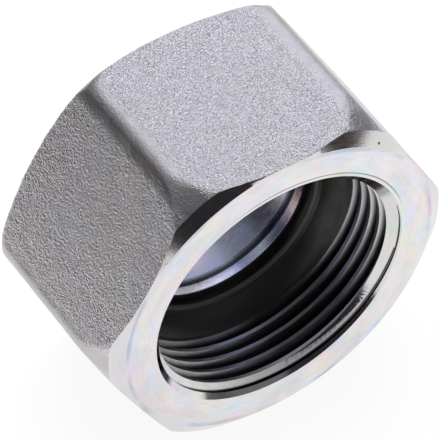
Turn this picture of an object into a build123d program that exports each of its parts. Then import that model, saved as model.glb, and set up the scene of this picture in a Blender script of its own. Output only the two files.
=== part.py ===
from build123d import *

import math
import os

# Hexagonal union nut for a tube fitting: M36 x 2 thread, 45 degree seat cone and a through
# bore for a 25 mm tube. It is one solid piece of steel, forged to a hexagon, then turned
# inside and on its front end.
#
# The nut lies on one flat of its hexagon. Its axis runs along Y, at half the width across
# flats above Z = 0, its mouth faces -Y, and the origin is under its middle. Sizes are in
# millimetres, and depths are measured along the axis from the mouth face.

# Forged hexagon
across_flats = 46.0
nut_length = 27.0
ridge_radius = 2.0               # rounding of the six long ridges

# Bevels at the two ends
mouth_face_diameter = 45.8       # flat ring round the mouth, inside the front bevel
rear_face_diameter = 44.0        # flat ring round the tube bore, inside the rear bevel
bevel_angle = 30.0               # slope of both bevels, from the plane of the end faces
rear_edge_radius = 0.8           # forged rounding between the rear bevel and the hexagon

# Crown that forging leaves on the hexagon's front corners, behind the turned bevel
crown_radius = 17.0              # its curve along the ridges
crown_depth = 8.0                # where it runs out into the ridges
crown_clearance = 0.02           # how far its run-out stands clear of the ridges

# Thread socket, bored to the thread's minor diameter
thread_major_diameter = 36.0
thread_pitch = 2.0
thread_end_depth = 9.2           # where the seat cone begins
mouth_countersink_diameter = 36.7
countersink_angle = 45.0         # slope of the countersink, from the axis

# Seat cone, and the turned land behind it
seat_angle = 45.0                # slope of the seat cone, from the axis
seat_edge_radius = 2.0           # rounding between the seat cone and the land
land_diameter = 25.6
land_length = 1.9

# Tube bore
tube_bore_diameter = 25.2
bore_taper_length = 0.95         # short taper from the land into the tube bore
rear_edge_break = 0.5            # 45 degree break at the rear end of the tube bore

# Worked out from the sizes above
MINOR_DIAMETER_PER_PITCH = 1.0825    # ISO metric thread: major less minor diameter
thread_minor_diameter = thread_major_diameter - MINOR_DIAMETER_PER_PITCH * thread_pitch
axis_height = across_flats / 2
mouth_y = -nut_length / 2
ridge_reach = (axis_height - ridge_radius) / math.cos(math.radians(30)) + ridge_radius
beyond_ridges = 1.1 * across_flats / math.cos(math.radians(30))     # a diameter clear of all
nut_axis = Axis((0, 0, axis_height), (0, 1, 0))


def slope_length(from_diameter, to_diameter, angle):
    """Length along the axis of a cone whose side leans from the axis by the angle."""
    return (from_diameter - to_diameter) / 2 / math.tan(math.radians(angle))


def turning_section(profile):
    """Half section, on one side of the nut's axis, from pairs of diameter and depth."""
    corners = [(diameter / 2, mouth_y + depth, axis_height) for diameter, depth in profile]
    return make_face(Polyline(*corners, close=True))


def forged_hexagon():
    """Bar of hexagonal section with rounded ridges, lying on one flat."""
    mouth_plane = Plane(origin=(0, mouth_y, axis_height), x_dir=(1, 0, 0), z_dir=(0, -1, 0))
    hexagon = RegularPolygon(across_flats / 2, 6, major_radius=False)
    hexagon = fillet(hexagon.vertices(), ridge_radius)
    return extrude(mouth_plane * hexagon, amount=-nut_length)


def crown_point(depth):
    """Point of the forged crown's curve at a depth."""
    arc_centre = ridge_reach + crown_clearance - crown_radius
    radius = arc_centre + math.sqrt(crown_radius**2 - (crown_depth - depth) ** 2)
    return Vector(radius, mouth_y + depth, axis_height)


def forged_crown():
    """Forged envelope that draws in the hexagon's corners towards the mouth."""
    curve = ThreePointArc(crown_point(0), crown_point(crown_depth / 2), crown_point(crown_depth))
    sides = Polyline(
        curve @ 1,
        (beyond_ridges / 2, mouth_y + crown_depth, axis_height),
        (beyond_ridges / 2, mouth_y + nut_length, axis_height),
        (0, mouth_y + nut_length, axis_height),
        (0, mouth_y, axis_height),
        curve @ 0,
    )
    return revolve(make_face(curve + sides), axis=nut_axis)


def end_bevels():
    """Turned envelope that bevels the hexagon's corners at both ends."""
    from_axis = 90 - bevel_angle
    front_bevel = slope_length(beyond_ridges, mouth_face_diameter, from_axis)
    rear_bevel = slope_length(beyond_ridges, rear_face_diameter, from_axis)
    section = turning_section([
        (0, 0),
        (mouth_face_diameter, 0),
        (beyond_ridges, front_bevel),
        (beyond_ridges, nut_length - rear_bevel),
        (rear_face_diameter, nut_length),
        (0, nut_length),
    ])
    return revolve(section, axis=nut_axis)


def nut_blank():
    """Bevelled hexagon with the rounded edges that forging leaves at its rear end."""
    blank = forged_hexagon() & forged_crown() & end_bevels()
    rear_cone = blank.faces().filter_by(GeomType.CONE).sort_by(Axis.Y)[-1]
    rear_edges = [edge for edge in rear_cone.edges() if edge.geom_type != GeomType.CIRCLE]
    return fillet(rear_edges, rear_edge_radius)


def bore():
    """Everything that is turned out of the blank: countersink, thread socket, seat, bore."""
    countersink_depth = slope_length(
        mouth_countersink_diameter, thread_minor_diameter, countersink_angle)
    land_start = thread_end_depth + slope_length(
        thread_minor_diameter, land_diameter, seat_angle)
    taper_start = land_start + land_length
    tube_bore_start = taper_start + bore_taper_length
    section = turning_section([
        (0, 0),
        (mouth_countersink_diameter, 0),
        (thread_minor_diameter, countersink_depth),
        (thread_minor_diameter, thread_end_depth),
        (land_diameter, land_start),
        (land_diameter, taper_start),
        (tube_bore_diameter, tube_bore_start),
        (tube_bore_diameter, nut_length - rear_edge_break),
        (tube_bore_diameter + 2 * rear_edge_break, nut_length),
        (0, nut_length),
    ])
    seat_edge = Vector(land_diameter / 2, mouth_y + land_start, axis_height)
    corner = section.vertices().sort_by_distance(seat_edge)[0]
    return revolve(fillet(corner, seat_edge_radius), axis=nut_axis)


def union_nut():
    """The finished nut, before its thread is cut."""
    return nut_blank() - bore()


os.makedirs("parts", exist_ok=True)
export_step(union_nut(), "parts/union_nut.step")
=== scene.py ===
import math

import bpy
from bpy.props import FloatProperty, FloatVectorProperty, IntProperty, PointerProperty
from mathutils import Matrix, Vector


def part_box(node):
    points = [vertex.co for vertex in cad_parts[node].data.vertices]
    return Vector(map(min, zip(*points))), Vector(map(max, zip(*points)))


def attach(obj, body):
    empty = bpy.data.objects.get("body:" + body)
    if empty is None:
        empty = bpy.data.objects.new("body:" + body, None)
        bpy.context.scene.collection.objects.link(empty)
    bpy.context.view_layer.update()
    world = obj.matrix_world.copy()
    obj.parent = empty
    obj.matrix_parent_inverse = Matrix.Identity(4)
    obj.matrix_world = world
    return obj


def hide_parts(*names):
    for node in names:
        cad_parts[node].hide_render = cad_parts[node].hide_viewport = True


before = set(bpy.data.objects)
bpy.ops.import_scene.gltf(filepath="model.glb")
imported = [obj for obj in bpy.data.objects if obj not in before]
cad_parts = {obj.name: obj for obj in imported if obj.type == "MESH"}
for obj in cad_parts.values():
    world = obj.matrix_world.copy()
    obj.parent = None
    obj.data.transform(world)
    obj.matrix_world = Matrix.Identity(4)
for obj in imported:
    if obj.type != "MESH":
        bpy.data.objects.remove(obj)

bl_info = {
    "name": "Union Nut",
    "version": (1, 0, 0),
    "blender": (4, 5, 0),
    "location": "View3D > Sidebar > Union Nut",
    "description": "Forged and turned union nut for a tube fitting, with its studio stage",
    "category": "Add Mesh",
}

MM = 0.001
FULL_TURN = 2 * math.pi
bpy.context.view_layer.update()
NUT_LOW, NUT_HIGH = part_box("union_nut")
MERGE_DISTANCE = 0.002 * MM
MINOR_PER_PITCH = 1.0825      # ISO metric thread: major less minor diameter


# ---------------------------------------------------------------- settings

def length(name, description, default):
    """A length in metres, shown in the scene's unit."""
    return FloatProperty(name=name, description=description, default=default, min=0.0,
                         unit="LENGTH", precision=5)


def angle(name, description, degrees):
    return FloatProperty(name=name, description=description, default=math.radians(degrees),
                         subtype="ANGLE")


def colour(name, description, default):
    return FloatVectorProperty(name=name, description=description, default=default, size=3,
                               min=0.0, max=1.0, subtype="COLOR")


def factor(name, description, default, highest=1.0):
    return FloatProperty(name=name, description=description, default=default, min=0.0,
                         max=highest, subtype="FACTOR")


class UnionNutSizes(bpy.types.PropertyGroup):
    """Sizes of the nut. Depths are measured along the axis from the mouth face."""
    across_flats: length("Across flats", "Wrench size of the hexagon", NUT_HIGH.z - NUT_LOW.z)
    nut_length: length("Length", "From the mouth face to the rear face", NUT_HIGH.y - NUT_LOW.y)
    ridge_radius: length("Ridge radius", "Forged rounding of the six ridges", 2.0 * MM)
    crown_radius: length("Crown radius", "Forged curve of the front corners", 17.0 * MM)
    crown_depth: length("Crown depth", "Where the crown runs out in the ridges", 8.0 * MM)
    mouth_face_diameter: length("Mouth face", "Outside diameter of the mouth face", 45.8 * MM)
    rear_face_diameter: length("Rear face", "Outside diameter of the rear face", 44.0 * MM)
    bevel_angle: angle("Bevel angle", "Slope of the end bevels from the end faces", 30)
    thread_major_diameter: length("Major diameter", "Thread diameter at the roots", 36.0 * MM)
    thread_pitch: length("Pitch", "Distance from one thread to the next", 2.0 * MM)
    thread_end_depth: length("Thread depth", "Depth at which the seat cone begins", 9.2 * MM)
    thread_start: length("Thread start", "Depth of the groove at the nut's right side", 0.22 * MM)
    countersink_diameter: length("Countersink", "Diameter at the mouth face", 36.7 * MM)
    seat_edge_radius: length("Cone edge", "Rounding between seat cone and land", 2.0 * MM)
    land_diameter: length("Land diameter", "Turned land behind the seat cone", 25.6 * MM)
    land_length: length("Land length", "Length of the land", 1.9 * MM)
    tube_bore_diameter: length("Tube bore", "Clearance bore for the tube", 25.2 * MM)
    bore_taper_length: length("Bore taper", "Taper from the land to the tube bore", 0.95 * MM)
    rear_edge_break: length("Edge break", "Break at the rear of the tube bore", 0.5 * MM)
    turning_steps: IntProperty(name="Turning steps", description="Facets round a turned face",
                               default=192, min=24, max=720)


class UnionNutFinish(bpy.types.PropertyGroup):
    """Colours and grain of the plated steel."""
    forged_colour: colour("Forged skin", "Plating over the forged flats", (0.80, 0.765, 0.79))
    ridge_colour: colour("Ridges", "Plating over the smooth forged ridges", (0.64, 0.62, 0.63))
    turned_colour: colour("Turned faces", "Plating over turned steel", (0.83, 0.82, 0.83))
    bevel_colour: colour("Bevels", "Plating over the turned bevels", (0.73, 0.72, 0.72))
    thread_colour: colour("Thread crest", "Plating on the crests", (0.46, 0.455, 0.46))
    # painted shade in the thread's roots
    painted_root_shade: colour("Thread root", "Oiled plating in the roots", (0.11, 0.11, 0.108))
    seat_colour: colour("Sealing cone", "Dark sealing ring on the seat cone",
                        (0.034, 0.034, 0.031))
    bore_colour: colour("Tube bore", "Plating in the bore", (0.50, 0.51, 0.64))
    grain_size: length("Grain size", "Spacing of the forged grain", 0.25 * MM)
    grain_depth: factor("Grain depth", "Strength of the forged grain", 1.0)
    speckle: factor("Speckle", "Light and dark specks of the blasted skin", 0.075)
    turning_feed: length("Turning feed", "Spacing of the turned marks", 0.14 * MM)
    tint: factor("Passivation tint", "Strength of the pale rainbow tint", 0.5)


class StudioSettings(bpy.types.PropertyGroup):
    """Light, floor and camera of the studio."""
    floor_colour: colour("Floor", "Colour of the floor", (0.90, 0.90, 0.90))
    key_power: FloatProperty(name="Key light", description="Power of the large soft light",
                             default=1.80, min=0.0, unit="POWER")
    fill_power: FloatProperty(name="Fill light", description="Power of the dim light behind",
                              default=0.142, min=0.0, unit="POWER")
    top_power: FloatProperty(name="Top light", description="Power of the light on the floor",
                             default=14.0, min=0.0, unit="POWER")
    camera_azimuth: angle("Azimuth", "Camera's turn about the nut", -34.2865)
    camera_elevation: angle("Elevation", "Camera's height above the horizon", 48.9122)
    camera_roll: angle("Roll", "Camera's turn about its line of sight", 1.7904)
    camera_distance: length("Distance", "From the mouth face to the camera", 541.2 * MM)
    camera_lens: FloatProperty(name="Lens", description="Focal length in millimetres",
                               default=354.5, min=1.0)


# ---------------------------------------------------------------- modelling helpers

def only(thing):
    """Makes one object the active and only selected one, in object mode."""
    if bpy.context.object and bpy.context.object.mode != "OBJECT":
        bpy.ops.object.mode_set(mode="OBJECT")
    bpy.ops.object.select_all(action="DESELECT")
    thing.select_set(True)
    bpy.context.view_layer.objects.active = thing


def named(name):
    """Names the object that was just added."""
    thing = bpy.context.object
    thing.name = thing.data.name = name
    return thing


def start_point(name, place):
    """Adds a tiny plane and merges it to a single vertex, still in edit mode."""
    if bpy.context.object and bpy.context.object.mode != "OBJECT":
        bpy.ops.object.mode_set(mode="OBJECT")
    bpy.ops.object.select_all(action="DESELECT")
    bpy.ops.mesh.primitive_plane_add(size=MM, location=place)
    point = named(name)
    bpy.ops.object.mode_set(mode="EDIT")
    bpy.ops.mesh.select_mode(type="VERT")
    bpy.ops.mesh.select_all(action="SELECT")
    bpy.ops.mesh.merge(type="CENTER")
    return point


def draw_section(section):
    """Extrudes the selected vertex along the section's (radius, depth) pairs."""
    for (radius, depth), (next_radius, next_depth) in zip(section, section[1:]):
        step = (next_radius - radius, next_depth - depth, 0)
        bpy.ops.mesh.extrude_region_move(TRANSFORM_OT_translate={"value": step})


def finish_shell():
    """Merges doubles and turns the faces outwards, then leaves edit mode."""
    bpy.ops.mesh.select_all(action="SELECT")
    bpy.ops.mesh.remove_doubles(threshold=MERGE_DISTANCE)
    bpy.ops.mesh.normals_make_consistent(inside=False)
    bpy.ops.object.mode_set(mode="OBJECT")


def place_in_mesh(thing):
    only(thing)
    bpy.ops.object.transform_apply(location=True, rotation=True, scale=True)


def turned_tool(name, section, sizes):
    """Solid of revolution about the nut's axis, from (radius, depth) pairs that end on it."""
    mouth_y, axis_height = -sizes.nut_length / 2, sizes.across_flats / 2
    radius, depth = section[0]
    tool = start_point(name, (radius, mouth_y + depth, axis_height))
    draw_section(section)
    bpy.ops.mesh.select_all(action="SELECT")
    bpy.ops.mesh.spin(steps=sizes.turning_steps, angle=FULL_TURN, use_auto_merge=True,
                      center=(0, 0, axis_height), axis=(0, 1, 0))
    finish_shell()
    place_in_mesh(tool)
    return tool


def apply_modifier(thing, kind, **values):
    only(thing)
    modifier = thing.modifiers.new(kind.title(), kind)
    for key, value in values.items():
        setattr(modifier, key, value)
    bpy.ops.object.modifier_apply(modifier=modifier.name)


def cut(thing, tool, operation="DIFFERENCE"):
    """Joins the tool to the thing by a boolean, a cut as a rule, and throws the tool away."""
    apply_modifier(thing, "BOOLEAN", object=tool, operation=operation, solver="EXACT")
    bpy.data.objects.remove(tool)


def select_faces(thing, wanted):
    """In edit mode, selects the faces for which wanted(centre, normal) holds."""
    only(thing)
    bpy.ops.object.mode_set(mode="EDIT")
    bpy.ops.mesh.select_mode(type="FACE")
    bpy.ops.mesh.select_all(action="DESELECT")
    bpy.ops.object.mode_set(mode="OBJECT")
    for face in thing.data.polygons:
        face.select = wanted(face.center, face.normal)
    bpy.ops.object.mode_set(mode="EDIT")


def arc(centre, radius, start, end, steps):
    """Points (radius, depth) on an arc, its angles in degrees from the radius direction."""
    turns = [math.radians(start + (end - start) * i / steps) for i in range(steps + 1)]
    return [(centre[0] + radius * math.cos(t), centre[1] + radius * math.sin(t)) for t in turns]


# ---------------------------------------------------------------- the nut

def minor_radius(sizes):
    """Radius of the thread's crests, to which its socket is bored."""
    return (sizes.thread_major_diameter - MINOR_PER_PITCH * sizes.thread_pitch) / 2


def forged_blank(sizes):
    """Hexagonal forging with rounded ridges and crowned corners at both ends."""
    half_flats = sizes.across_flats / 2
    corner = half_flats / math.cos(math.radians(30))
    stock = 3 * MM
    bpy.ops.object.select_all(action="DESELECT")
    bpy.ops.mesh.primitive_cylinder_add(
        vertices=6, radius=corner, depth=sizes.nut_length + 2 * stock,
        location=(0, 0, half_flats), rotation=(math.radians(90), 0, 0))
    blank = named("forged_nut")
    bpy.ops.object.transform_apply(location=True, rotation=True, scale=True)
    turn_flat_side_up(blank, half_flats)
    round_ridges(sizes)
    crown_corners(blank, sizes)
    apply_modifier(blank, "REMESH", mode="VOXEL", voxel_size=0.36 * MM, adaptivity=0.0)
    apply_modifier(blank, "SMOOTH", factor=0.5, iterations=5)
    uneven = bpy.data.textures.new("forging_unevenness", "CLOUDS")
    uneven.noise_scale, uneven.noise_depth = 2.4 * MM, 2
    apply_modifier(blank, "DISPLACE", texture=uneven, texture_coords="LOCAL",
                   strength=0.10 * MM, mid_level=1.0)
    return blank


def turn_flat_side_up(blank, half_flats):
    """Turns the hexagon in edit mode so that it lies on a flat, unless it does already."""
    bpy.ops.object.mode_set(mode="EDIT")
    bpy.ops.mesh.select_all(action="SELECT")
    lowest = min(vertex.co.z for vertex in blank.data.vertices)
    if lowest < -1e-5:
        bpy.ops.transform.rotate(value=math.radians(30), orient_axis="Y",
                                 center_override=(0, 0, half_flats))


def round_ridges(sizes):
    """Bevels the six long edges to the ridge radius."""
    blank = bpy.context.object
    bpy.ops.object.mode_set(mode="EDIT")
    bpy.ops.mesh.select_mode(type="EDGE")
    bpy.ops.mesh.select_all(action="DESELECT")
    bpy.ops.object.mode_set(mode="OBJECT")
    for edge in blank.data.edges:
        ends = [blank.data.vertices[i].co for i in edge.vertices]
        edge.select = abs(ends[0].y - ends[1].y) > sizes.nut_length / 2
    bpy.ops.object.mode_set(mode="EDIT")
    bpy.ops.mesh.bevel(offset=sizes.ridge_radius * math.tan(math.radians(30)), segments=12,
                       profile=0.5, affect="EDGES", offset_type="OFFSET")
    bpy.ops.object.mode_set(mode="OBJECT")


def crown_corners(blank, sizes):
    """Trims the corners of the hexagon to the crown that forging leaves at both ends."""
    half_flats, ridge = sizes.across_flats / 2, sizes.ridge_radius
    ridge_reach = (half_flats - ridge) / math.cos(math.radians(30)) + ridge
    curve = sizes.crown_radius
    clearance = 0.02 * MM
    centre = (ridge_reach + clearance - curve, sizes.crown_depth)
    lowest = -math.degrees(math.asin((sizes.crown_depth + 2 * MM) / curve))
    front = arc(centre, curve, lowest, 0, 24)
    rear = [(26.25, 22.4), (26.12, 23.7), (25.88, 24.6), (25.50, 25.2), (25.00, 25.6)]
    slope = math.tan(sizes.bevel_angle)
    rear_end = (sizes.rear_face_diameter / 2 - 1.0 * MM,
                sizes.nut_length + 1.0 * MM * slope)
    section = [(0.0, front[0][1])] + front + [(r * MM, d * MM) for r, d in rear]
    section += [rear_end, (0.0, rear_end[1])]
    crown = turned_tool("crown", section, sizes)
    cut(blank, crown, "INTERSECT")


def mouth_tool(sizes):
    """What is turned off the front: the mouth face and its bevel."""
    face = sizes.mouth_face_diameter / 2
    slope = math.tan(sizes.bevel_angle)
    reach = 9 * MM
    edge = 0.05 * MM
    section = [(0.0, 0.0), (face - edge, 0.0), (face + edge * 0.4, edge * 0.4 * 0.5)]
    section += [(face + reach, reach * slope), (face + reach, -6 * MM), (0.0, -6 * MM)]
    return turned_tool("mouth_tool", section, sizes)


def rear_tool(sizes):
    """What is faced off the rear end."""
    end = sizes.nut_length
    section = [(0.0, end), (30 * MM, end), (30 * MM, end + 6 * MM), (0.0, end + 6 * MM)]
    return turned_tool("rear_tool", section, sizes)


def bore_tool(sizes):
    """Everything that is turned out of the nut: countersink, socket, seat cone and bore."""
    minor = minor_radius(sizes)
    mouth = sizes.countersink_diameter / 2
    land, bore = sizes.land_diameter / 2, sizes.tube_bore_diameter / 2
    seat_start = sizes.thread_end_depth
    land_start = seat_start + minor - land
    taper_start = land_start + sizes.land_length
    bore_start = taper_start + sizes.bore_taper_length
    end, break_ = sizes.nut_length, sizes.rear_edge_break
    rounding = sizes.seat_edge_radius
    # the rounding touches the land at the land radius and leaves the cone at 45 degrees
    tangent = rounding * math.tan(math.radians(22.5))
    centre = (land + rounding, land_start + tangent)
    section = [(0.0, -3 * MM), (mouth + 3 * MM, -3 * MM), (minor, mouth - minor),
               (minor, seat_start)]
    section += arc(centre, rounding, 225, 180, 8)
    section += [(land, taper_start), (bore, bore_start), (bore, end - break_),
                (bore + break_ + 3 * MM, end + 3 * MM), (0.0, end + 3 * MM)]
    return turned_tool("bore_tool", section, sizes)


def thread_tool(sizes):
    """Coil that cuts the right-hand thread, running out where the seat cone begins."""
    pitch = sizes.thread_pitch
    major = sizes.thread_major_diameter / 2
    inner = major - MINOR_PER_PITCH * pitch / 2 - 0.2 * MM
    mouth_y, axis_height = -sizes.nut_length / 2, sizes.across_flats / 2
    flank = math.tan(math.radians(30))
    root = pitch / 16
    wide = root + (major - inner) * flank
    middle = 0.30 * MM
    half = [(inner, wide), (major - middle, root + middle * flank), (major, root),
            (major + 0.22 * MM, 0.4 * root)]
    ring = half + [(radius, -depth) for radius, depth in reversed(half)]
    lead_in = 1
    first = sizes.thread_start - lead_in * pitch
    coil = start_point("thread_tool", (ring[0][0], mouth_y + first + ring[0][1], axis_height))
    draw_section(ring)
    bpy.ops.mesh.select_all(action="SELECT")
    bpy.ops.mesh.edge_face_add()
    bpy.ops.mesh.delete(type="ONLY_FACE")
    bpy.ops.object.mode_set(mode="OBJECT")
    bpy.context.scene.cursor.location = (0, 0, axis_height)
    bpy.ops.object.origin_set(type="ORIGIN_CURSOR")
    steps = 144
    turns = lead_in + (sizes.thread_end_depth + 0.55 * pitch - sizes.thread_start) / pitch
    apply_modifier(coil, "SCREW", axis="Y", angle=FULL_TURN * turns,
                   screw_offset=pitch * turns, iterations=1, steps=int(steps * turns),
                   render_steps=int(steps * turns), use_smooth_shade=False)
    run_out(coil, sizes, mouth_y + sizes.thread_end_depth, inner)
    bpy.ops.object.mode_set(mode="EDIT")
    bpy.ops.mesh.select_mode(type="EDGE")
    bpy.ops.mesh.select_all(action="SELECT")
    bpy.ops.mesh.fill_holes(sides=0)
    finish_shell()
    place_in_mesh(coil)
    return coil


def run_out(coil, sizes, end_y, inner):
    """Draws the last part of the coil inwards, so that its groove runs out."""
    fade = 0.45 * sizes.thread_pitch
    shallow = 0.55
    for vertex in coil.data.vertices:
        beyond = (vertex.co.y - end_y + fade) / (2 * fade)
        if beyond > 0:
            radius = math.hypot(vertex.co.x, vertex.co.z)
            pull = 1 - min(beyond, 1.0) * (1 - shallow)
            scale = (inner + (radius - inner) * pull) / radius
            vertex.co.x *= scale
            vertex.co.z *= scale


# ---------------------------------------------------------------- shader node groups

def new_group(name, inputs, outputs):
    """Empty shader node group with named sockets: (name, kind, default) in, (name, kind) out."""
    group = bpy.data.node_groups.new(name, "ShaderNodeTree")
    for label, kind, default in inputs:
        socket = group.interface.new_socket(label, in_out="INPUT", socket_type=kind)
        socket.default_value = default
    for label, kind in outputs:
        group.interface.new_socket(label, in_out="OUTPUT", socket_type=kind)
    return group, group.nodes.new("NodeGroupInput"), group.nodes.new("NodeGroupOutput")


class Wiring:
    """Short hand for adding nodes to a tree and joining their sockets."""

    def __init__(self, tree):
        self.tree = tree

    def join(self, value, socket):
        if isinstance(value, bpy.types.NodeSocket):
            self.tree.links.new(value, socket)
        else:
            socket.default_value = value

    def node(self, kind, values=(), **settings):
        node = self.tree.nodes.new(kind)
        for key, value in settings.items():
            setattr(node, key, value)
        for socket, value in dict(values).items():
            self.join(value, node.inputs[socket])
        return node

    def math(self, operation, a, b=None, clamp=False):
        values = {0: a} if b is None else {0: a, 1: b}
        return self.node("ShaderNodeMath", values, operation=operation,
                         use_clamp=clamp).outputs[0]

    def vector(self, operation, a, b=None, output="Vector"):
        values = {0: a} if b is None else {0: a, 1: b}
        return self.node("ShaderNodeVectorMath", values, operation=operation).outputs[output]

    def remap(self, value, low, high, to_low=0.0, to_high=1.0, smooth=True):
        """Value from low..high to to_low..to_high, held at both ends."""
        kind = "SMOOTHSTEP" if smooth else "LINEAR"
        return self.node("ShaderNodeMapRange",
                         {"Value": value, "From Min": low, "From Max": high,
                          "To Min": to_low, "To Max": to_high},
                         interpolation_type=kind, clamp=True).outputs["Result"]

    def noise(self, vector, scale, detail=2.0, roughness=0.5, distortion=0.0):
        return self.node("ShaderNodeTexNoise",
                         {"Vector": vector, "Scale": scale, "Detail": detail,
                          "Roughness": roughness, "Distortion": distortion})

    def mix_colour(self, fac, a, b, blend="MIX"):
        node = self.node("ShaderNodeMix", {}, data_type="RGBA", blend_type=blend)
        for index, value in ((0, fac), (6, a), (7, b)):
            self.join(value, node.inputs[index])
        return node.outputs[2]

    def object_place(self):
        return self.node("ShaderNodeTexCoord").outputs["Object"]


def axis_coordinates_group(sizes):
    """Radius from the nut's axis and depth from the mouth face, both in metres, and a
    vector (round the axis, depth, radius) that follows the turning."""
    group, _, out = new_group("Axis Coordinates", [], [
        ("Radius", "NodeSocketFloat"), ("Depth", "NodeSocketFloat"), ("Round", "NodeSocketVector"),
        ("Band", "NodeSocketVector"), ("Place", "NodeSocketVector")])
    w = Wiring(group)
    centre = (0.0, -sizes.nut_length / 2, sizes.across_flats / 2)
    place = w.vector("SUBTRACT", w.object_place(), centre)
    split = w.node("ShaderNodeSeparateXYZ", {0: place})
    x, depth, z = split.outputs
    flat = w.node("ShaderNodeCombineXYZ", {0: x, 2: z}).outputs[0]
    radius = w.vector("LENGTH", flat, output="Value")
    unit = w.vector("NORMALIZE", flat)
    # the unit vector shrinks the pattern round the axis to a circle that is thin across
    round_ = w.vector("MULTIPLY", unit, (0.006, 0.006, 0.006))
    lift = w.math("ADD", depth, w.math("MULTIPLY", radius, 2.1))
    lift = w.node("ShaderNodeCombineXYZ", {1: lift}).outputs[0]
    w.join(radius, out.inputs["Radius"])
    w.join(depth, out.inputs["Depth"])
    w.join(w.vector("ADD", round_, lift), out.inputs["Round"])
    wide = w.vector("MULTIPLY", unit, (0.009, 0.009, 0.009))
    drift = w.node("ShaderNodeCombineXYZ", {1: w.math("ADD", depth, radius)}).outputs[0]
    w.join(w.vector("ADD", wide, drift), out.inputs["Band"])
    w.join(place, out.inputs["Place"])
    return group


def ridge_mask_group(sizes):
    """1 on the six ridges and 0 on the flats."""
    group, ins, out = new_group("Ridge Mask", [
        ("Width", "NodeSocketFloat", 0.0012), ("Softness", "NodeSocketFloat", 0.0003)],
        [("Mask", "NodeSocketFloat")])
    w = Wiring(group)
    place = w.vector("SUBTRACT", w.object_place(), (0.0, 0.0, sizes.across_flats / 2))
    heights = []
    for degrees in (30, 90, 150):
        turn = math.radians(degrees)
        facing = (math.cos(turn), 0.0, math.sin(turn))
        heights.append(w.math("ABSOLUTE", w.vector("DOT_PRODUCT", place, facing, "Value")))
    a, b, c = heights
    highest = w.math("MAXIMUM", w.math("MAXIMUM", a, b), c)
    lowest = w.math("MINIMUM", w.math("MINIMUM", a, b), c)
    total = w.math("ADD", w.math("ADD", a, b), c)
    middle = w.math("SUBTRACT", w.math("SUBTRACT", total, highest), lowest)
    gap = w.math("SUBTRACT", highest, middle)
    far = w.math("ADD", ins.outputs["Width"], ins.outputs["Softness"])
    near = w.math("SUBTRACT", ins.outputs["Width"], ins.outputs["Softness"])
    w.join(w.remap(gap, near, far, 1.0, 0.0), out.inputs["Mask"])
    return group


def forging_grain_group():
    """Pebbled grain of a blasted forging: a height, and specks from -1 dark to 1 light."""
    group, ins, out = new_group("Forging Grain", [
        ("Place", "NodeSocketVector", (0, 0, 0)), ("Grain Size", "NodeSocketFloat", 0.0003)],
        [("Height", "NodeSocketFloat"), ("Specks", "NodeSocketFloat")])
    w = Wiring(group)
    scale = w.math("DIVIDE", 1.0, ins.outputs["Grain Size"])
    place = ins.outputs["Place"]
    fine = w.noise(place, scale, 2.0, 0.55, 0.6).outputs["Fac"]
    coarse = w.noise(place, w.math("MULTIPLY", scale, 0.28), 1.0, 0.5, 0.3).outputs["Fac"]
    other = w.noise(w.vector("ADD", place, (0.1, 0.2, 0.3)), scale, 2.0, 0.55, 0.3)
    cells = w.node("ShaderNodeTexVoronoi",
                   {"Vector": place, "Scale": w.math("MULTIPLY", scale, 0.8)},
                   feature="SMOOTH_F1").outputs["Distance"]
    height = w.math("ADD", w.math("MULTIPLY", fine, 0.7), w.math("MULTIPLY", cells, 0.35))
    height = w.math("ADD", height, w.math("MULTIPLY", coarse, 0.3))
    w.join(height, out.inputs["Height"])
    w.join(w.remap(other.outputs["Fac"], 0.25, 0.75, -1.0, 1.0, smooth=False),
           out.inputs["Specks"])
    return group


def turning_marks_group():
    """Fine rings that a lathe tool leaves, as a height, and slow streaks along them."""
    group, ins, out = new_group("Turning Marks", [
        ("Round", "NodeSocketVector", (0, 0, 0)), ("Feed", "NodeSocketFloat", 0.00014)],
        [("Height", "NodeSocketFloat"), ("Streaks", "NodeSocketFloat")])
    w = Wiring(group)
    scale = w.math("DIVIDE", 1.0, ins.outputs["Feed"])
    height = w.noise(ins.outputs["Round"], scale, 1.0, 0.6).outputs["Fac"]
    slow = w.math("MULTIPLY", scale, 0.3)
    streaks = w.noise(ins.outputs["Round"], slow, 3.0, 0.6).outputs["Fac"]
    w.join(height, out.inputs["Height"])
    w.join(w.remap(streaks, 0.3, 0.7), out.inputs["Streaks"])
    return group


def passivation_group():
    """Pale rainbow tint of a clear passivated plating over a base colour."""
    group, ins, out = new_group("Passivation Tint", [
        ("Place", "NodeSocketVector", (0, 0, 0)), ("Base Colour", "NodeSocketColor", (1, 1, 1, 1)),
        ("Strength", "NodeSocketFloat", 0.5), ("Patch Size", "NodeSocketFloat", 0.004)],
        [("Colour", "NodeSocketColor")])
    w = Wiring(group)
    scale = w.math("DIVIDE", 1.0, ins.outputs["Patch Size"])
    film = w.noise(ins.outputs["Place"], scale, 2.0, 0.45, 0.4).outputs["Color"]
    # the film's thickness varies by colour, so soft pink, yellow and blue patches drift over it
    red, green, blue = w.node("ShaderNodeSeparateColor", {0: film}).outputs
    # green partly follows the other two, which keeps most patches from turning green
    green = w.math("ADD", w.math("MULTIPLY", w.math("ADD", red, blue), 0.23),
                   w.math("MULTIPLY", green, 0.54))
    film = w.node("ShaderNodeCombineColor", {0: red, 1: green, 2: blue}).outputs[0]
    hue = w.vector("MULTIPLY_ADD", film, (0.95, 0.90, 0.95))
    w.join((0.49, 0.49, 0.49), hue.node.inputs[2])
    tinted = w.mix_colour(ins.outputs["Strength"], ins.outputs["Base Colour"], hue, "MULTIPLY")
    w.join(tinted, out.inputs["Colour"])
    return group


def plated_material(name, build, groups):
    """Metallic material whose build(wiring, shader, groups) joins its nodes."""
    material = bpy.data.materials.new(name)
    material.use_nodes = True
    w = Wiring(material.node_tree)
    shader = material.node_tree.nodes["Principled BSDF"]
    shader.inputs["Metallic"].default_value = 1.0
    build(w, shader, groups)
    return material


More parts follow.
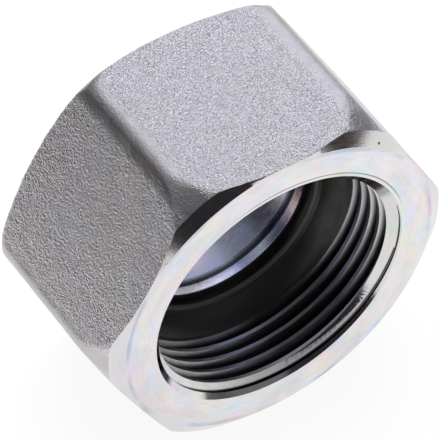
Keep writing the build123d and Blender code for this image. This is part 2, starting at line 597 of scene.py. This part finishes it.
def place_group(w, groups, name, values=()):
    node = w.node("ShaderNodeGroup", {}, node_tree=groups[name])
    for socket, value in dict(values).items():
        w.join(value, node.inputs[socket])
    return node.outputs


def forged_finish(finish):
    def build(w, shader, groups):
        axis = place_group(w, groups, "axis")
        ridge = place_group(w, groups, "ridge", {"Width": 0.0017, "Softness": 0.0007})["Mask"]
        grain = place_group(w, groups, "grain", {"Place": axis["Place"],
                                                 "Grain Size": finish.grain_size})
        base = w.mix_colour(ridge, (*finish.forged_colour, 1), (*finish.ridge_colour, 1))
        tint = place_group(w, groups, "tint", {"Place": axis["Place"], "Base Colour": base,
                                               "Strength": 0.25 * finish.tint,
                                               "Patch Size": 0.006})["Colour"]
        worn = w.noise(axis["Place"], 260.0, 3.0, 0.6).outputs["Fac"]
        depth = w.remap(ridge, 0.0, 1.0, 1.0, 0.35, smooth=False)
        speckle = w.math("MULTIPLY", w.math("MULTIPLY", grain["Specks"], depth), finish.speckle)
        shade = w.math("ADD", w.remap(worn, 0.3, 0.7, 0.95, 1.03, smooth=False), speckle)
        shade_colour = w.node("ShaderNodeCombineColor", {0: shade, 1: shade, 2: shade}).outputs[0]
        w.join(w.mix_colour(1.0, tint, shade_colour, "MULTIPLY"), shader.inputs["Base Color"])
        rough = w.remap(worn, 0.3, 0.7, 0.31, 0.40)
        w.join(w.math("ADD", rough, w.math("MULTIPLY", ridge, 0.10)),
               shader.inputs["Roughness"])
        height = w.math("MULTIPLY", grain["Height"], depth)
        bump = w.node("ShaderNodeBump", {"Height": height, "Strength": finish.grain_depth,
                                         "Distance": 0.25 * MM})
        w.join(bump.outputs[0], shader.inputs["Normal"])
    return build


def turn_round(w, axis):
    """Turns round the axis from the nut's right side, -0.5 to 0.5."""
    x, _, z = w.node("ShaderNodeSeparateXYZ", {0: axis["Place"]}).outputs
    return w.math("DIVIDE", w.math("ARCTAN2", z, x), FULL_TURN)


def colour_round(w, axis, stops):
    """Colour that runs round the axis, from (degrees from the right side, colour) stops."""
    ramp = w.node("ShaderNodeValToRGB", {0: w.math("ADD", turn_round(w, axis), 0.5)})
    elements = ramp.color_ramp.elements
    for index, (degrees, shade) in enumerate(stops):
        place = degrees / 360 + 0.5
        element = elements[index] if index < 2 else elements.new(place)
        element.position, element.color = place, (*shade, 1)
    return ramp.outputs["Color"]


def land_plating_and_painted_light(sizes):
    """Plating of the land with painted reflections whose colour varies round it, and painted shade
    on the taper behind it.
    """
    def base(w, axis):
        minor = minor_radius(sizes)
        end = sizes.thread_end_depth + minor - sizes.land_diameter / 2 + sizes.land_length
        # the colours round the land are painted reflections and painted shade over its plating
        painted_reflections = colour_round(w, axis, [
            (-180, (0.95, 0.86, 0.84)), (180, (0.95, 0.86, 0.84)), (-118, (1.0, 0.90, 0.86)),
            (-104, (1.0, 0.95, 1.0)), (-88, (0.80, 0.80, 0.98)), (-72, (0.38, 0.42, 0.64)),
            (-56, (0.84, 0.95, 1.0)), (-40, (0.36, 0.35, 0.42)), (-26, (1.0, 0.82, 0.70)),
            (-8, (0.50, 0.40, 0.36)), (40, (0.60, 0.60, 0.64))])
        # painted shade on the taper, darkest where it leaves the land
        taper = w.remap(axis["Depth"], end - 0.05 * MM, end + 0.10 * MM)
        dark = w.mix_colour(w.remap(axis["Depth"], end + 0.45 * MM, end + 0.80 * MM),
                            (0.05, 0.05, 0.06, 1), (0.16, 0.18, 0.24, 1))
        return w.mix_colour(taper, painted_reflections, dark)
    return base


def bore_plating_and_painted_light(finish):
    """Bluish plating of the tube bore, with a painted dark band and a painted highlight round the
    axis that make it a little brighter on its lower right.
    """
    def base(w, axis):
        # stops round the axis: painted shade near -75 degrees, painted highlight from -55 to -20
        # degrees
        return colour_round(w, axis, [
            (-180, finish.bore_colour), (180, finish.bore_colour), (-95, finish.bore_colour),
            (-75, (0.36, 0.36, 0.44)), (-55, (0.62, 0.68, 0.80)), (-20, (0.70, 0.72, 0.80)),
            (30, finish.bore_colour)])
    return base


def thread_plating_and_painted_light(sizes, finish):
    """Painted highlight on the first turn, crests whose colour varies round the axis in painted
    highlights and painted shade, and dark painted shade in the roots.
    """
    def base(w, axis):
        # the crest colour is painted light: painted shade where dim, painted highlights where pale
        # or bluish
        dim = tuple(0.42 * level for level in finish.thread_colour)
        crest = colour_round(w, axis, [
            (-180, finish.thread_colour), (180, finish.thread_colour),
            (-120, finish.thread_colour), (-100, (0.60, 0.61, 0.72)), (-80, dim), (-45, dim),
            (-25, finish.thread_colour), (-5, (0.74, 0.73, 0.74)), (45, (0.74, 0.73, 0.74)),
            (80, finish.thread_colour)])
        # the roots take painted shade
        root = (*finish.painted_root_shade, 1)
        minor = minor_radius(sizes)
        groove = w.remap(axis["Radius"], minor + 0.05 * MM, minor + 0.75 * MM)
        deep = w.mix_colour(groove, crest, root)
        # the edge of the painted highlight follows the first turn, its ends joined on the left
        turn = turn_round(w, axis)
        turn = w.math("ADD", turn, w.remap(turn, -0.5, -0.43, 1.0, 0.0))
        inside = w.math("ADD", axis["Depth"], w.math("MULTIPLY", turn, sizes.thread_pitch))
        edge = sizes.thread_start + 0.5 * sizes.thread_pitch
        fade = w.remap(inside, edge + 0.3 * MM, edge + 0.7 * MM)
        # the first turn takes the turned colour as a painted highlight, with painted root shade in
        # its groove
        first = w.remap(axis["Radius"], minor + 0.72 * MM, minor + 0.90 * MM)
        bright = w.mix_colour(first, (*finish.turned_colour, 1), root)
        return w.mix_colour(fade, bright, deep)
    return base


def mouth_plating_and_painted_light(sizes, finish):
    """Plating of the faced ends: a fine line above the mouth, painted shade of a turned edge, and
    painted bluish shade in patches at its rim.
    """
    def base(w, axis):
        # a fine dark line of painted shade round the mouth, shown only on its upper side
        away = w.math("SUBTRACT", axis["Radius"], sizes.countersink_diameter / 2 + 0.5 * MM)
        unlined = w.remap(w.math("ABSOLUTE", away), 0.03 * MM, 0.14 * MM)
        upward = w.vector("DOT_PRODUCT", axis["Place"], (0.42, 0.0, 0.9), "Value")
        unlined = w.math("MAXIMUM", unlined, w.remap(upward, 0.011, 0.017, 1.0, 0.0))
        unlined = w.math("MAXIMUM", unlined, w.remap(axis["Depth"], 0.2 * MM, 0.4 * MM))
        # painted bluish shade drifts in patches along the outer edge of the mouth face
        outer = sizes.mouth_face_diameter / 2
        painted_rim_shade = w.remap(axis["Radius"], outer - 0.9 * MM, outer - 0.3 * MM)
        patches = w.noise(axis["Place"], 130.0, 2.0).outputs["Fac"]
        painted_rim_shade = w.math("MULTIPLY", painted_rim_shade, w.remap(patches, 0.44, 0.62))
        painted_rim_shade = w.math("MULTIPLY", painted_rim_shade, w.remap(axis["Depth"], 0.2 * MM, 0.4 * MM, 0.75, 0.0))
        face = w.mix_colour(painted_rim_shade, (*finish.turned_colour, 1), (0.52, 0.54, 0.66, 1))
        return w.mix_colour(unlined, (0.30, 0.30, 0.29, 1), face)
    return base


def bevel_plating_and_painted_shade(sizes, finish):
    """Plating of the front bevel, with a small pit, and of the countersink with painted shade on
    its lower left.
    """
    def base(w, axis):
        turn, reach = math.radians(53.4), 23.38 * MM
        pit = (reach * math.cos(turn), 0.42 * MM, reach * math.sin(turn))
        away = w.vector("DISTANCE", axis["Place"], pit, "Value")
        spot = w.remap(away, 0.15 * MM, 0.30 * MM)
        skin = w.mix_colour(spot, (0.01, 0.01, 0.01, 1), (*finish.bevel_colour, 1))
        # the countersink gets painted shade on its lower left
        countersink_shade = w.remap(turn_round(w, axis), -0.435, -0.418, 1.0, 0.0)
        countersink_shade = w.math("MULTIPLY", countersink_shade, w.remap(axis["Radius"], 19.0 * MM, 19.1 * MM, 1.0, 0.0))
        return w.mix_colour(countersink_shade, skin, (0.03, 0.03, 0.03, 1))
    return base


def turned_finish(finish, base, roughness, mark_depth, tint=1.0, streak=0.06):
    def build(w, shader, groups):
        axis = place_group(w, groups, "axis")
        marks = place_group(w, groups, "turning", {"Round": axis["Round"],
                                                   "Feed": finish.turning_feed})
        coloured = place_group(w, groups, "tint", {"Place": axis["Band"],
                                                   "Base Colour": base(w, axis),
                                                   "Strength": tint * finish.tint,
                                                   "Patch Size": 0.0022})["Colour"]
        shade = w.remap(marks["Streaks"], 0.0, 1.0, 1.0 - streak, 1.0, smooth=False)
        grey = w.node("ShaderNodeCombineColor", {0: shade, 1: shade, 2: shade}).outputs[0]
        w.join(w.mix_colour(1.0, coloured, grey, "MULTIPLY"), shader.inputs["Base Color"])
        w.join(w.remap(marks["Streaks"], 0.0, 1.0, roughness * 0.85, roughness * 1.15),
               shader.inputs["Roughness"])
        bump = w.node("ShaderNodeBump", {"Height": marks["Height"], "Strength": mark_depth,
                                         "Distance": 0.01 * MM})
        w.join(bump.outputs[0], shader.inputs["Normal"])
    return build


def seat_finish(finish):
    """Dark rounded sealing ring on the seat cone, with a fine lip at its inner edge that has a
    painted highlight, and painted shade on the rounding inside it.
    """
    def build(w, shader, groups):
        shader.inputs["Metallic"].default_value = 0.0
        shader.inputs["Specular IOR Level"].default_value = 0.4
        axis = place_group(w, groups, "axis")
        marks = place_group(w, groups, "turning", {"Round": axis["Round"],
                                                   "Feed": 2.0 * finish.turning_feed})

        def hill(middle, half):
            away = w.math("DIVIDE", w.math("SUBTRACT", axis["Radius"], middle), half)
            return w.math("SUBTRACT", 1.0, w.math("MULTIPLY", away, away), clamp=True)

        lip, ring = hill(13.65 * MM, 0.24 * MM), hill(15.3 * MM, 1.1 * MM)
        # near-black painted shade on the rounding inside the lip, and a lighter painted highlight
        # on the lip
        outside = w.remap(axis["Radius"], 13.36 * MM, 13.48 * MM)
        skin = w.mix_colour(outside, (0.003, 0.003, 0.003, 1), (*finish.seat_colour, 1))
        skin = w.mix_colour(lip, skin, (0.10, 0.10, 0.095, 1))
        w.join(skin, shader.inputs["Base Color"])
        w.join(w.remap(marks["Streaks"], 0.0, 1.0, 0.30, 0.42), shader.inputs["Roughness"])
        shape = w.math("ADD", w.math("MULTIPLY", lip, 0.35), ring)
        height = w.math("ADD", shape, w.math("MULTIPLY", marks["Height"], 0.04))
        bump = w.node("ShaderNodeBump", {"Height": height, "Strength": 1.0,
                                         "Distance": 0.22 * MM})
        w.join(bump.outputs[0], shader.inputs["Normal"])
    return build


def nut_materials(sizes, finish):
    """The finishes of the nut, in the order of its material slots."""
    groups = {"axis": axis_coordinates_group(sizes), "ridge": ridge_mask_group(sizes),
              "grain": forging_grain_group(), "turning": turning_marks_group(),
              "tint": passivation_group()}
    builds = [
        ("Forged Skin", forged_finish(finish)),
        ("Faced Mouth",
         turned_finish(finish, mouth_plating_and_painted_light(sizes, finish), 0.24, 0.5, 1.15, 0.10)),
        ("Turned Bevel", turned_finish(finish, bevel_plating_and_painted_shade(sizes, finish), 0.14, 0.3, 0.8)),
        ("Cut Thread", turned_finish(finish, thread_plating_and_painted_light(sizes, finish), 0.38, 0.1, 0.4, 0.05)),
        ("Sealing Cone", seat_finish(finish)),
        ("Bored Land", turned_finish(finish, land_plating_and_painted_light(sizes), 0.28, 0.5, 0.5)),
        ("Tube Bore", turned_finish(finish, bore_plating_and_painted_light(finish), 0.36, 0.9, 1.2, 0.3)),
    ]
    return [plated_material(name, build, groups) for name, build in builds]


def assign_finishes(nut, sizes):
    """Gives each face the finish of the work that made it, by its place and normal."""
    mouth_y, axis_height = -sizes.nut_length / 2, sizes.across_flats / 2
    minor = minor_radius(sizes)
    mouth = sizes.countersink_diameter / 2
    seat_start = sizes.thread_end_depth
    land_start = seat_start + minor - sizes.land_diameter / 2
    taper_end = land_start + sizes.land_length + sizes.bore_taper_length
    tiny = 0.01 * MM

    def kind(centre, normal):
        radius = math.hypot(centre.x, centre.z - axis_height)
        depth = centre.y - mouth_y
        if normal.y < -0.999 and depth < 0.05 * MM:
            return 1
        if normal.y > 0.999 and depth > sizes.nut_length - tiny:
            return 1
        if radius > 19.5 * MM:
            cone = depth - (radius - sizes.mouth_face_diameter / 2) * math.tan(sizes.bevel_angle)
            return 2 if abs(cone) < 0.03 * MM and normal.y < -0.5 else 0
        if abs(depth - (mouth - radius)) < tiny and depth < mouth - minor + tiny:
            return 2
        if radius > minor - tiny:
            return 3
        if depth < land_start + 0.7 * MM:
            return 4
        return 5 if depth < taper_end - tiny else 6

    for slot in range(1, 7):
        select_faces(nut, lambda centre, normal: kind(centre, normal) == slot)
        nut.active_material_index = slot
        bpy.ops.object.material_slot_assign()
    bpy.ops.object.mode_set(mode="OBJECT")


def build_nut(sizes, finish):
    nut = forged_blank(sizes)
    for tool in (mouth_tool(sizes), rear_tool(sizes), bore_tool(sizes), thread_tool(sizes)):
        cut(nut, tool)
    only(nut)
    bpy.ops.object.mode_set(mode="EDIT")
    bpy.ops.mesh.select_all(action="SELECT")
    bpy.ops.mesh.remove_doubles(threshold=MERGE_DISTANCE)
    bpy.ops.object.mode_set(mode="OBJECT")
    nut.data.materials.clear()
    for material in nut_materials(sizes, finish):
        nut.data.materials.append(material)
    assign_finishes(nut, sizes)
    only(nut)
    bpy.ops.object.shade_smooth_by_angle(angle=math.radians(22))
    apply_modifier(nut, "WEIGHTED_NORMAL", keep_sharp=True, weight=80)
    return nut


# ---------------------------------------------------------------- the studio

def direction(azimuth, elevation):
    """Unit vector towards an azimuth from the front, turning to the right, and a height."""
    a, e = math.radians(azimuth), math.radians(elevation)
    return Vector((math.sin(a) * math.cos(e), -math.cos(a) * math.cos(e), math.sin(e)))


def flat_material(name, shade):
    material = bpy.data.materials.new(name)
    material.use_nodes = True
    shader = material.node_tree.nodes["Principled BSDF"]
    shader.inputs["Base Color"].default_value = (*shade, 1)
    shader.inputs["Roughness"].default_value = 0.9
    return material


def backdrop_material(name, shade, glow):
    """Matt floor, near white to the camera and in metal, that keeps a faint shadow."""
    material = flat_material(name, shade)
    tree = material.node_tree
    w = Wiring(tree)
    shader = tree.nodes["Principled BSDF"]
    path = w.node("ShaderNodeLightPath").outputs
    seen = w.math("MAXIMUM", path["Is Camera Ray"], path["Is Glossy Ray"])
    seen = w.math("MAXIMUM", seen, path["Is Transmission Ray"])
    white = w.node("ShaderNodeEmission", {"Color": (1, 1, 1, 1), "Strength": 1.0})
    mix = w.node("ShaderNodeMixShader", {0: w.math("MULTIPLY", seen, glow),
                                         1: shader.outputs[0], 2: white.outputs[0]})
    w.join(mix.outputs[0], tree.nodes["Material Output"].inputs["Surface"])
    return material


def card(name, azimuth, distance, width, low, high, material, aim):
    """Upright card facing the nut, seen only in its reflections."""
    place = aim + direction(azimuth, 0) * distance
    bpy.ops.object.select_all(action="DESELECT")
    bpy.ops.mesh.primitive_plane_add(size=1, location=(place.x, place.y, (low + high) / 2),
                                     rotation=(math.radians(90), 0, math.radians(azimuth)))
    flag = named(name)
    flag.scale = (width, high - low, 1)
    place_in_mesh(flag)
    flag.data.materials.append(material)
    flag.visible_camera = False
    flag.visible_diffuse = False
    flag.visible_shadow = False


def soft_light(name, azimuth, elevation, distance, size, power, aim, tone=(1, 1, 1)):
    facing = direction(azimuth, elevation)
    bpy.ops.object.light_add(type="AREA", location=aim + facing * distance)
    lamp = bpy.context.object
    lamp.name = lamp.data.name = name
    lamp.rotation_euler = facing.to_track_quat("Z", "Y").to_euler()
    lamp.data.shape = "RECTANGLE"
    lamp.data.size, lamp.data.size_y = size
    lamp.data.energy = power
    lamp.data.color = tone
    lamp.visible_camera = False


def top_light(power, aim):
    """Large light overhead for the floor and its shadow, kept out of the metal."""
    soft_light("top_light", 160, 70, 0.9, (0.8, 0.8), power, aim)
    bpy.context.object.visible_glossy = False


def add_camera(sizes, studio):
    """Camera that looks into the mouth from the front, above and to the left."""
    a, e, r = studio.camera_azimuth, studio.camera_elevation, studio.camera_roll
    back = direction(math.degrees(a), math.degrees(e))
    level = Vector((math.cos(a), math.sin(a), 0))
    upright = back.cross(level)
    across = math.cos(r) * level + math.sin(r) * upright
    up = -math.sin(r) * level + math.cos(r) * upright
    mouth = Vector((0, -sizes.nut_length / 2, sizes.across_flats / 2))
    aside, above = -7.59 * MM, 8.69 * MM     # from the mouth's centre to the picture's centre
    place = mouth + across * aside + up * above + back * studio.camera_distance
    bpy.ops.object.camera_add()
    camera = bpy.context.object
    camera.name = camera.data.name = "camera"
    camera.data.lens = studio.camera_lens
    camera.data.sensor_width = 36
    camera.data.clip_start, camera.data.clip_end = 0.01, 20
    turn = Matrix((across, up, back)).transposed().to_4x4()
    camera.matrix_world = Matrix.Translation(place) @ turn
    bpy.context.scene.camera = camera


def add_world(sky):
    """Dim room, white where the camera looks past the floor but not in reflections."""
    world = bpy.data.worlds.new("studio_world")
    world.use_nodes = True
    w = Wiring(world.node_tree)
    background = world.node_tree.nodes["Background"]
    path = w.node("ShaderNodeLightPath").outputs
    seen = w.math("MAXIMUM", path["Is Camera Ray"], path["Is Transmission Ray"])
    w.join(w.mix_colour(seen, (*sky, 1), (1, 1, 1, 1)), background.inputs["Color"])
    background.inputs["Strength"].default_value = 1.0
    bpy.context.scene.world = world


# ---------------------------------------------------------------- operators and panel

class MESH_OT_union_nut(bpy.types.Operator):
    """Forge, bevel, bore and thread the union nut, then give it its finishes"""
    bl_idname = "mesh.union_nut"
    bl_label = "Build Union Nut"
    bl_options = {"REGISTER", "UNDO"}

    def execute(self, context):
        nut = build_nut(context.scene.union_nut_sizes, context.scene.union_nut_finish)
        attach(nut, "root")
        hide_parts("union_nut")
        return {"FINISHED"}


class SCENE_OT_nut_studio(bpy.types.Operator):
    """Lay the floor, set the lights and the dark cards, and place the camera"""
    bl_idname = "scene.nut_studio"
    bl_label = "Build Studio"
    bl_options = {"REGISTER", "UNDO"}

    def execute(self, context):
        studio, sizes = context.scene.nut_studio, context.scene.union_nut_sizes
        aim = Vector((0, 0, sizes.across_flats / 2))
        bpy.ops.object.select_all(action="DESELECT")
        bpy.ops.mesh.primitive_plane_add(size=6, location=(0, 0, 0))
        floor = named("floor")
        place_in_mesh(floor)
        floor.data.materials.append(backdrop_material("Floor Paper", studio.floor_colour, 0.92))
        black = flat_material("Black Card", (0.01, 0.01, 0.01))
        brown = flat_material("Brown Card", (0.03, 0.02, 0.012))
        grey = flat_material("Grey Card", (0.09, 0.09, 0.09))
        card("front_card", -26, 0.30, 0.54, 0.0, 0.56, black, aim)
        card("side_card", 42, 0.30, 0.075, 0.0, 0.08, brown, aim)
        card("grey_card", 66, 0.30, 0.20, 0.0, 0.08, grey, aim)
        card("corner_card", 100, 0.30, 0.16, 0.0, 0.13, black, aim)
        card("near_card", -5, 0.13, 0.055, 0.0, 0.05, black, aim)
        card("left_card", -122, 0.14, 0.36, 0.0, 0.12, black, aim)
        soft_light("key_light", 136, 45, 0.6, (0.66, 0.7), studio.key_power, aim,
                   (0.875, 0.91, 1.0))
        soft_light("fill_light", -150, 52, 0.6, (0.5, 0.45), studio.fill_power, aim)
        top_light(studio.top_power, aim)
        add_world((0.17, 0.168, 0.175))
        add_camera(sizes, studio)
        context.scene.view_settings.view_transform = "Standard"
        return {"FINISHED"}


class VIEW3D_PT_union_nut(bpy.types.Panel):
    """Sizes, finishes and studio settings, with the operators that use them"""
    bl_label = "Union Nut"
    bl_idname = "VIEW3D_PT_union_nut"
    bl_space_type = "VIEW_3D"
    bl_region_type = "UI"
    bl_category = "Union Nut"

    def draw(self, context):
        scene = context.scene
        for settings, operator in ((scene.union_nut_sizes, None),
                                   (scene.union_nut_finish, MESH_OT_union_nut.bl_idname),
                                   (scene.nut_studio, SCENE_OT_nut_studio.bl_idname)):
            box = self.layout.box()
            for name in settings.__annotations__:
                box.prop(settings, name)
            if operator:
                box.operator(operator)


CLASSES = (UnionNutSizes, UnionNutFinish, StudioSettings, MESH_OT_union_nut,
           SCENE_OT_nut_studio, VIEW3D_PT_union_nut)


def register():
    for cls in CLASSES:
        bpy.utils.register_class(cls)
    bpy.types.Scene.union_nut_sizes = PointerProperty(type=UnionNutSizes)
    bpy.types.Scene.union_nut_finish = PointerProperty(type=UnionNutFinish)
    bpy.types.Scene.nut_studio = PointerProperty(type=StudioSettings)


def unregister():
    del bpy.types.Scene.nut_studio
    del bpy.types.Scene.union_nut_finish
    del bpy.types.Scene.union_nut_sizes
    for cls in reversed(CLASSES):
        bpy.utils.unregister_class(cls)


def main():
    register()
    bpy.ops.mesh.union_nut()
    bpy.ops.scene.nut_studio()


if __name__ == "__main__":
    main()
